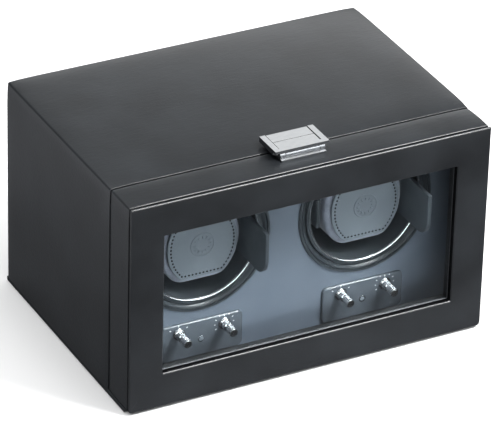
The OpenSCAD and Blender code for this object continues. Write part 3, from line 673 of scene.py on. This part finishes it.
def lid_front_skin():
    """Padded leather over the front board: its rounded edge, the groove's floor, the face, and the reveal,
    whose faces are near-black as painted shade.
    """
    lo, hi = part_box("lid_leather")
    bead_lo, bead_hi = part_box("window_bead")
    pin_lo, pin_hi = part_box("hinge_pin")
    pin_y, pin_z = (pin_lo.y + pin_hi.y) / 2, (pin_lo.z + pin_hi.z) / 2
    nose, pocket = pin_y - lo.y, 1.8 * MM
    edge, back_edge, skin, sill_r = 1.2 * MM, 0.5 * MM, 1 * MM, 1.3 * MM
    fall, reach = 0.5 * MM, 4 * MM
    low_corner, top_corner = 3.4 * MM, 1.6 * MM
    steps = 6
    face = [d * MM for d in (9, 5.5, 3)]
    rim = roll_off(edge, fall, reach)
    side = [(lo.y + roll_off(d, fall, reach), PANEL_INSET + d) for d in face]
    low = [(lo.y, pin_z + d) for d in face]
    side += arc(lo.y + rim + edge, PANEL_INSET + edge, edge, 180, 270, steps)
    low += arc(pin_y, pin_z, nose, 180, 220, steps)
    side += arc(lo.y + PANEL_BACK - back_edge, PANEL_INSET + back_edge, back_edge, -90, 0, steps)
    low += arc(pin_y, pin_z, nose, 220, 240, steps)
    side += [(lo.y + PANEL_BACK, GROOVE_DEPTH), (lo.y + GROOVE_BACK + 0.5 * MM, GROOVE_DEPTH),
             (lo.y + GROOVE_BACK + 0.5 * MM, GROOVE_DEPTH + 0.6 * MM), (lo.y + skin, GROOVE_DEPTH + 0.6 * MM)]
    low += [*arc(pin_y, pin_z, pocket, 240, 180, 2), (lo.y + skin, pin_z + 2.2 * MM)]

    def ring(side_point, low_point):
        (y, inset), (y_low, z_low) = side_point, low_point
        corner = max(low_corner - inset, 0.3 * MM)
        points = box_outline(lo.x + inset, hi.x - inset, z_low, hi.z - inset,
                             max(top_corner - inset * 0.7, 0.3 * MM), corner)
        made = []
        for x, z in points:
            share = min(max((z_low + corner - z) / corner, 0), 1)
            made.append((x, y + (y_low - y) * share, z))
        return made

    def window_ring(y, outset):
        corner = 0.6 * MM + outset
        outline = box_outline(bead_lo.x - outset, bead_hi.x + outset, bead_lo.z - outset, bead_hi.z + outset,
                              corner, corner)
        return [(x, y, z) for x, z in outline]

    rings = [ring(s, l) for s, l in zip(side, low)]
    sill_edge = roll_off(sill_r, fall, reach)
    inner = [window_ring(lo.y + skin, skin), window_ring(bead_hi.y, skin), window_ring(bead_hi.y, 0)]
    inner += [window_ring(y, out)
              for y, out in arc(lo.y + sill_edge + sill_r, sill_r, sill_r, -90, -180, steps)]
    inner += [window_ring(lo.y + roll_off(d, fall, reach), d) for d in reversed(face)]
    mesh = loft("lid_front_skin", rings + inner, closed_path=True)
    add_piece("lid_front_leather", mesh, "lid", "black_leather")
    # Near-black for the reveal's faces: painted shade in the window's recess.
    mesh.materials.append(MATERIALS["black_paint_and_shade"])

    def painted_shade_in_reveal(flat):
        x, y, z = flat.center
        outset = max(bead_lo.x - x, x - bead_hi.x, bead_lo.z - z, z - bead_hi.z)
        return outset < 0.25 * MM and y > lo.y + sill_r

    paint_faces(mesh, 1, painted_shade_in_reveal)


def lid_board():
    """The front board of the lid, narrower than the groove round it is deep."""
    lo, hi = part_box("lid_frame")
    bead_lo, bead_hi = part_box("window_bead")
    inset, lap = GROOVE_DEPTH - 0.3 * MM, 1.1 * MM

    def ring(y, x0, x1, z0, z1):
        return [(x, y, z) for x, z in box_outline(x0, x1, z0, z1, 0.3 * MM, 0.3 * MM, 3)]

    outer = (lo.x + inset, hi.x - inset, lo.z + 1.6 * MM, hi.z - inset)
    hole = (bead_lo.x - lap, bead_hi.x + lap, bead_lo.z - lap, bead_hi.z + lap)
    rabbet = 4.2 * MM
    wide = (hole[0] + lap - rabbet, hole[1] - lap + rabbet, hole[2] + lap - rabbet, hole[3] - lap + rabbet)
    front, step = lo.y + 0.1 * MM, bead_hi.y
    rings = [ring(front, *outer), ring(hi.y, *outer), ring(hi.y, *wide), ring(step, *wide), ring(step, *hole),
             ring(front, *hole)]
    add_piece("lid_front_board", loft("lid_board", rings, closed_path=True), "lid", "wood_board",
              "black_paint_and_shade", replaces=("lid_frame",))


case_skin()
lid_rim_skin()
lid_front_skin()
lid_board()


# ---------------------------------------------------------------- drums and cuffs

def drum_centre(side):
    lo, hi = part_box(side + "_drum")
    return ((lo.x + hi.x) / 2, (lo.z + hi.z) / 2)


def pillow_path(width, height, bulge, corner, steps=22):
    """Points and normals of a pillow outline: bulging sides, flat top and bottom, round corners."""
    w, h, r = width / 2 - corner, height / 2 - corner, bulge - corner
    reach = math.degrees(math.asin(h / r))
    path = []
    for turn in (0, 180):
        sign = 1 if turn == 0 else -1
        sides = [(sign * ((w - r) + r * math.cos(math.radians(a))),
                  sign * r * math.sin(math.radians(a)), a + turn)
                 for a in (-reach + 2 * reach * k / steps for k in range(steps + 1))]
        end_x, end_z = sides[-1][0], sides[-1][1]
        fan = [(end_x, end_z, turn + reach + (90 - reach) * k / 5) for k in range(1, 6)]
        flat = [(end_x * (1 - 2 * k / 10), end_z, turn + 90) for k in range(1, 10)]
        start = [(-end_x, end_z, turn + 90 + (90 - reach) * k / 5) for k in range(5)]
        path += sides + fan + flat + start
    return [(x + corner * math.cos(math.radians(a)), z + corner * math.sin(math.radians(a)),
             math.cos(math.radians(a)), math.sin(math.radians(a))) for x, z, a in path]


def pad_mesh(name, path, centre, profile):
    """A closed pad: rings of the path, moved in by inset at each (inset, y), closed by shrinking rings."""
    cx, cz = centre
    rings = [[(cx + x - nx * inset, y, cz + z - nz * inset) for x, z, nx, nz in path] for inset, y in profile]
    first, last = rings[0], rings[-1]

    def shrunk(ring, scale, dy):
        return [(cx + (x - cx) * scale, y + dy, cz + (z - cz) * scale) for x, y, z in ring]

    rings = [shrunk(first, s, d) for s, d in ((0.02, 0), (0.35, 0), (0.7, 0))] + rings
    rings += [shrunk(last, s, 0) for s in (0.7, 0.35, 0.02)]
    return loft(name, rings, capped=True)


def drum_shell(side):
    lo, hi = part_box(side + "_drum")
    hub = 6 * MM
    outer = (hi.x - lo.x) / 2
    inner = outer - 3.8 * MM
    y0, y1 = lo.y, hi.y - hub
    profile = [(inner, y1 - 3 * MM), (inner, y0 + 1.2 * MM)]
    profile += arc(inner + 0.8 * MM, y0 + 0.8 * MM, 0.8 * MM, 180, 270, 4)
    profile += arc(outer - 0.9 * MM, y0 + 0.9 * MM, 0.9 * MM, -90, 0, 4)
    for k in range(5):
        y = y0 + (14 + 14 * k) * MM
        profile += [(outer, y), (outer - 0.7 * MM, y + 0.5 * MM), (outer - 0.7 * MM, y + 1.5 * MM),
                    (outer, y + 2 * MM)]
    profile += [(outer, y1 - 0.8 * MM), (outer - 0.8 * MM, y1), (9 * MM, y1), (9 * MM, hi.y),
                (4.05 * MM, hi.y), (4.05 * MM, y1 - 3 * MM)]
    add_piece(side + "_drum_shell", lathe(side + "_drum_mesh", profile, drum_centre(side), 128),
              side + "_drum", "drum_plastic", replaces=(side + "_drum",))


def chrome_trim(side):
    """The ring round the drum's mouth: a bright lip inside, and a dark flat outside it."""
    lo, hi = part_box(side + "_chrome_ring")
    outer = (hi.x - lo.x) / 2
    inner = drum_centre(side)[0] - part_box(side + "_drum")[0].x - 3.8 * MM
    lip = 1.4 * MM
    profile = [(inner, hi.y)] + arc(inner + lip, lo.y + lip, lip, 180, 270, 8)
    profile += [(inner + 1.9 * MM, lo.y + 0.06 * MM), (inner + 2.2 * MM, lo.y + 0.3 * MM),
                (outer - 0.2 * MM, lo.y + 0.34 * MM), (outer, lo.y + 0.5 * MM), (outer, hi.y)]
    centre_x, centre_z = drum_centre(side)
    mesh = lathe(side + "_chrome_mesh", profile, (centre_x, centre_z), 160)
    add_piece(side + "_chrome_trim", mesh, side + "_drum", "chrome", "satin_chrome",
              replaces=(side + "_chrome_ring",))
    mesh.materials.append(MATERIALS["bezel_plastic"])
    paint_faces(mesh, 1, lambda flat: math.hypot(flat.center.x - centre_x, flat.center.z - centre_z)
                > inner + 1.6 * MM)


def bezel(side):
    lo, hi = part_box("drum_bezels")
    outer = (hi.z - lo.z) / 2
    y0, y1 = lo.y, hi.y
    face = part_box("fascia")[0].y
    deep = face - y0
    # Millimetres in from the outer edge, and behind the front. The first four stand just in front of it.
    steps = [(0, deep - 0.25), (0.3, deep - 0.5), (2.2, deep - 0.55), (2.4, deep - 0.9), (2.5, 0.5),
             (2.7, 0.12), (3.0, 0), (3.3, 0.1), (4.9, 1.35), (5.2, 2.1), (6.05, 2.2)]
    profile = [(outer - a * MM, y0 + b * MM) for a, b in steps]
    profile += [(outer - 6.05 * MM, y1), (outer - 2.6 * MM, y1), (outer - 2.6 * MM, face),
                (outer - 0.1 * MM, face)]
    return lathe(side + "_bezel_mesh", profile, drum_centre(side), 160)


def cushion(side):
    lo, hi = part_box(side + "_cuff_cushion")
    centre = drum_centre(side)
    start = 1.6 * MM
    width, height = hi.x - lo.x - 2 * start, hi.z - lo.z - 2 * start
    path = pillow_path(width, height, 42 * MM, 9 * MM)
    front_soft, soft = 3.2 * MM, 7 * MM
    y0, y1 = lo.y + start * 0.4, hi.y - start
    profile = [(front_soft - front_soft * math.cos(a), y0 + front_soft - front_soft * math.sin(a))
               for a in (math.pi / 2 * (1 - k / 5) for k in range(6))]
    profile += [(soft - soft * math.cos(a), y1 - soft + soft * math.sin(a))
                for a in (math.pi / 2 * k / 5 for k in range(6))]
    mesh = pad_mesh(side + "_cushion_mesh", path, centre, profile)
    piece = add_piece(side + "_cushion_pad", mesh, side + "_drum", "cushion_suede",
                      replaces=(side + "_cuff_cushion",), angle=180, weighted=False)
    inflate(piece, 1.5 * MM)
    piece.modifiers.new("smooth", "SUBSURF").levels = 1
    piece.modifiers["smooth"].render_levels = 1
    return piece


def inflate(piece, most):
    """Cloth with pressure, frames 1 to 20, then no point further than most from where it began."""
    scene = bpy.context.scene
    remesh = piece.modifiers.new("voxels", "REMESH")
    remesh.mode, remesh.voxel_size = "VOXEL", 3 * MM
    apply_modifiers(piece)
    before = [v.co.copy() for v in piece.data.vertices]
    cloth = piece.modifiers.new("cloth", "CLOTH")
    cloth.settings.use_pressure = True
    cloth.settings.uniform_pressure_force = 4
    cloth.settings.quality = 5
    cloth.settings.effector_weights.gravity = 0
    for number in range(1, 21):
        scene.frame_set(number)
    apply_modifiers(piece)
    scene.frame_set(1)
    for v, start in zip(piece.data.vertices, before):
        move = v.co - start
        if move.length > most:
            v.co = start + move.normalized() * most


def apply_modifiers(piece):
    graph = bpy.context.evaluated_depsgraph_get()
    done = bpy.data.meshes.new_from_object(piece.evaluated_get(graph))
    piece.modifiers.clear()
    material = piece.data.materials[0]
    piece.data = done
    if not done.materials:
        done.materials.append(material)
    done.polygons.foreach_set("use_smooth", [True] * len(done.polygons))


def patch(side):
    """Leather face of the cuff with a turned edge, a stitch line and a plain dial emblem pressed into it."""
    lo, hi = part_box(side + "_cuff_patch")
    centre = drum_centre(side)
    path = pillow_path(hi.x - lo.x, hi.z - lo.z, 37.45 * MM, 3 * MM)
    edge = 0.9 * MM
    profile = [(edge * 0.4, hi.y), (0, hi.y - 0.2 * MM), (0, lo.y + edge)]
    profile += [(edge - edge * math.cos(a), lo.y + edge - edge * math.sin(a))
                for a in (math.pi / 2 * k / 5 for k in range(1, 6))]
    profile += [(2.3 * MM, lo.y), (2.7 * MM, lo.y + 0.12 * MM), (3.3 * MM, lo.y + 0.12 * MM),
                (3.8 * MM, lo.y)]
    piece = add_piece(side + "_patch_face", pad_mesh(side + "_patch_mesh", path, centre, profile),
                      side + "_drum", "patch_leather", replaces=(side + "_cuff_patch",), angle=50)
    stitches(side, path, centre, lo.y + 0.1 * MM, 3.0 * MM)
    emblem(side, centre, lo.y)
    return piece


def stitches(side, path, centre, face_y, inset):
    """Short rounded stitches along the patch's edge."""
    line = [Vector((centre[0] + x - nx * inset, face_y + 0.05 * MM, centre[1] + z - nz * inset))
            for x, z, nx, nz in path]
    line.append(line[0])
    gaps = [(b - a).length for a, b in zip(line, line[1:])]
    total = sum(gaps)
    count = round(total / (3.0 * MM))
    pitch, long, thick = total / count, 1.6 * MM, 0.62 * MM

    def at(distance):
        distance %= total
        for a, b, gap in zip(line, line[1:], gaps):
            if distance <= gap and gap > 0:
                return a + (b - a) * distance / gap
            distance -= gap
        return line[0]

    points, faces = [], []
    for k in range(count):
        for step in range(5):
            t = step / 4 - 0.5
            middle, ahead = at(k * pitch + t * long), at(k * pitch + t * long + 0.1 * MM)
            along = (ahead - middle).normalized()
            across = along.cross(Vector((0, 1, 0)))
            swell = math.sqrt(max(1 - (2 * t) ** 2 * 0.85, 0.1))
            for q in range(6):
                a = math.pi * 2 * q / 6
                points.append(middle + across * thick * 1.3 * swell * math.cos(a)
                              - Vector((0, 1, 0)) * thick * swell * math.sin(a))
        first = k * 30
        for step in range(4):
            for q in range(6):
                a, b = first + step * 6 + q, first + step * 6 + (q + 1) % 6
                faces.append((a, b, b + 6, a + 6))
        faces.append(tuple(first + q for q in range(6))[::-1])
        faces.append(tuple(first + 24 + q for q in range(6)))
    add_piece(side + "_patch_stitches", mesh_of(side + "_stitch_mesh", points, faces), side + "_drum",
              "patch_leather", "thread", weighted=False, angle=60)


def emblem(side, centre, face_y):
    """A plain dial: a raised ring with twelve short marks."""
    points, faces = [], []

    def bar(x, z, turn, length, width, height):
        c, s = math.cos(turn), math.sin(turn)
        first = len(points)
        for y, k in ((face_y + 0.05 * MM, 1.0), (face_y - height, 0.6)):
            for a, b in ((-1, -1), (1, -1), (1, 1), (-1, 1)):
                u, v = a * length / 2 * k, b * width / 2 * k
                points.append((x + u * c - v * s, y, z + u * s + v * c))
        faces.extend([tuple(first + q for q in (3, 2, 1, 0)), tuple(first + q for q in (4, 5, 6, 7))])
        faces.extend([(first + q, first + (q + 1) % 4, first + 4 + (q + 1) % 4, first + 4 + q)
                      for q in range(4)])

    for k in range(12):
        a = 2 * math.pi * k / 12
        r = 6.2 * MM
        bar(centre[0] + r * math.cos(a), centre[1] + r * math.sin(a), a, 2.6 * MM, 1.1 * MM, 0.6 * MM)
    add_piece(side + "_patch_marks", mesh_of(side + "_marks_mesh", points, faces), side + "_drum",
              "patch_leather", weighted=False)
    ring = [(9.5 * MM + 0.6 * MM * math.cos(a), face_y - 0.55 * MM * math.sin(a)) for a in
            (2 * math.pi * k / 10 for k in range(10))]
    add_piece(side + "_patch_dial", lathe(side + "_dial_mesh", ring, centre, 64), side + "_drum",
              "patch_leather")


def cuff_frame(side):
    """Grey cradle and wings, with the wings' narrow front edges darker: painted shade."""
    piece = softened(side + "_cuff_frame", 0.5 * MM)
    middle = drum_centre(side)[0]
    piece.data.materials.append(MATERIALS["bezel_plastic"])
    # The wings' front-facing edges take the darker plastic: painted shade.
    paint_faces(piece.data, 1, lambda flat: flat.normal.y < -0.8 and abs(flat.center.x - middle) > 32 * MM)


def joined(name, meshes):
    """One mesh from several."""
    bm = bmesh.new()
    for mesh in meshes:
        bm.from_mesh(mesh)
    made = bpy.data.meshes.new(name)
    bm.to_mesh(made)
    bm.free()
    return made


for side in SIDES:
    drum_shell(side)
    chrome_trim(side)
    cushion(side)
    patch(side)
    cuff_frame(side)
add_piece("drum_bezel_rings", joined("bezel_rings", [bezel(side) for side in SIDES]), "case",
          "bezel_plastic", replaces=("drum_bezels",))


# ---------------------------------------------------------------- controls

def knob(node):
    lo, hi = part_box(node)
    centre = ((lo.x + hi.x) / 2, (lo.z + hi.z) / 2)
    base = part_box("left_control_plate")[0].y - 0.3 * MM
    tip = lo.y
    r, collar = 3.5 * MM, 5 * MM
    profile = [(0.02 * MM, hi.y), (2 * MM, hi.y), (2 * MM, base), (collar - 0.4 * MM, base),
               (collar, base - 0.4 * MM), (collar, base - 0.8 * MM), (r + 0.5 * MM, base - 1.8 * MM)]
    middle, pitch, turned = base - 7.2 * MM, 0.7 * MM, 0.27 * MM
    grips = ((base - 2 * MM, middle, r), (middle - 1.1 * MM, tip + 0.7 * MM, r - 0.15 * MM))
    for start, end, radius in grips:
        count = round((start - end) / pitch)
        for k in range(count):
            y = start - (start - end) * k / count
            profile += [(radius, y, 1), (radius - turned, y - 0.1 * MM, 1),
                        (radius, y - 0.1 * MM - turned, 1)]
        if start > middle > tip + 8 * MM:
            profile += [(r - 0.8 * MM, middle - 0.1 * MM), (r - 0.8 * MM, middle - 1 * MM)]
    profile += [(r - 0.2 * MM, tip + 0.45 * MM), (r - 0.7 * MM, tip), (0.02 * MM, tip)]
    add_piece(node + "_turned", lathe(node + "_mesh", profile, centre, 112, groove=0.7 * MM), node, "chrome",
              "satin_chrome", replaces=(node,), angle=25, weighted=False)


def scale_marks(side):
    """Raised white marks round the knobs: three beside one, nine round the other."""
    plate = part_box(side + "_control_plate")[0].y
    points, faces = [], []
    for name, angles in (("direction", (-60, 0, 60)), ("turns", range(-120, 121, 30))):
        lo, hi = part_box(f"{side}_{name}_knob")
        cx, cz = (lo.x + hi.x) / 2, (lo.z + hi.z) / 2
        for angle in angles:
            a = math.radians(angle)
            long = 1.3 * MM if angle % 60 == 0 else 0.9 * MM
            start = 5.9 * MM if abs(angle) < 20 else 7.4 * MM
            first = len(points)
            for y in (plate + 0.02 * MM, plate - 0.06 * MM):
                for u, v in ((-1, 0), (1, 0), (1, 1), (-1, 1)):
                    across, out = u * 0.3 * MM, start + v * long
                    points.append((cx + out * math.sin(a) + across * math.cos(a), y,
                                   cz + out * math.cos(a) - across * math.sin(a)))
            faces.extend([tuple(first + q for q in (3, 2, 1, 0)), tuple(first + q for q in (4, 5, 6, 7))])
            faces.extend([(first + q, first + (q + 1) % 4, first + 4 + (q + 1) % 4, first + 4 + q)
                          for q in range(4)])
    add_piece(side + "_scale_marks", mesh_of(side + "_scale_mesh", points, faces), "case", "control_panel",
              "print", weighted=False)


def lenses():
    lo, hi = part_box("led_lenses")
    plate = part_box("left_control_plate")[0].y
    r = (hi.z - lo.z) / 2
    z = (lo.z + hi.z) / 2
    made, collars = [], []
    for x in (lo.x + r, hi.x - r):
        dome = [(r * 0.93 * math.cos(a), plate - 0.7 * MM * math.sin(a))
                for a in (math.pi / 2 * k / 8 for k in range(8))]
        profile = [(0.02 * MM, hi.y), (r * 0.93, hi.y), *dome, (0.02 * MM, plate - 0.7 * MM)]
        made.append(lathe("lens_mesh", profile, (x, z), 48))
        ring = [(r + 0.05 * MM + 0.4 * MM * math.cos(a), plate - 0.3 * MM * math.sin(a))
                for a in (2 * math.pi * k / 10 for k in range(10))]
        collars.append(lathe("collar_mesh", ring, (x, z), 48))
    add_piece("lens_domes", joined("lens_domes", made), "case", "led_lens", replaces=("led_lenses",))
    add_piece("lens_collars", joined("lens_collars", collars), "case", "chrome")


for side in SIDES:
    for kind in ("direction", "turns"):
        knob(f"{side}_{kind}_knob")
    chamfered(side + "_control_plate", 0.7 * MM)
    scale_marks(side)
lenses()


# ---------------------------------------------------------------- rounded CAD pieces

for name, width in {
    "latch_lever": 0.3, "latch_base": 0.04, "latch_keeper": 0.04, "latch_pin": 0.2,
    "window_bead": 0.35, "glass_retainer": 0.5, "lid_lining": 0.2, "floor_liner": 0.8, "fascia": 0.3,
    "base_board": 0.7, "base_felt": 0.2, "hinge_base_leaf": 0.1, "lid_hinge_leaf": 0.1, "hinge_pin": 0.15,
    "hinge_base_screws": 0.1, "lid_hinge_screws": 0.1, "dc_jack": 0.25,
    "left_board": 2.8, "right_board": 2.8, "top_board": 2.8, "back_board": 1.5, "lid_rim": 2.6,
}.items():
    # The boards are drawn in slightly, clear of the padded leather's corners.
    softened(name, width * MM, shrink=0.996 if name in ("left_board", "right_board", "top_board") else 1.0)



def latch_faces():
    """Brushed tops; a greyer, darker barrel and edges on every face that doesn't face up, as painted shade;
    and near-black walls in the narrow gaps of the latch, also painted shade.
    """
    gap_x, gap_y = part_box("latch_keeper")[1].x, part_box("latch_keeper")[0].y
    for name in ("latch_lever", "latch_base", "latch_keeper"):
        mesh = bpy.data.objects[name + "_shape"].data
        mesh.materials.append(MATERIALS["aluminium_bead"])
        mesh.materials.append(MATERIALS["black_paint_and_shade"])
        for face in mesh.polygons:
            across = abs(face.normal.x) > 0.9 and abs(abs(face.center.x) - gap_x) < 1.2 * MM
            along = abs(face.normal.y) > 0.9 and abs(face.center.y - gap_y) < 0.7 * MM
            # Near-black walls in the narrow gaps: painted shade.
            if across or along:
                face.material_index = 2
            # Faces that don't face up take the darker grey metal: painted shade, darker than the brushed
            # tops.
            elif face.normal.z < 0.9:
                face.material_index = 1


def bead_faces():
    """The window's bead: dark, with a thin metal edge."""
    piece = bpy.data.objects["window_bead_shape"]
    piece.data.materials[0] = MATERIALS["black_paint_and_shade"]
    piece.data.materials.append(MATERIALS["aluminium_bead"])
    piece.modifiers["edges"].material = 1


def painted_rim():
    """The boards of the lid's rim are painted black, because a strip of them shows beside the lining."""
    bpy.data.objects["lid_rim_shape"].data.materials[0] = MATERIALS["black_paint_and_shade"]


painted_rim()
latch_faces()
bead_faces()

shown = {name for name, node in frame["nodes"].items() if not node.hide_render}
for name in sorted(shown):
    for slot in frame["nodes"][name].material_slots:
        slot.material = MATERIALS[SLOT_OF[name]]
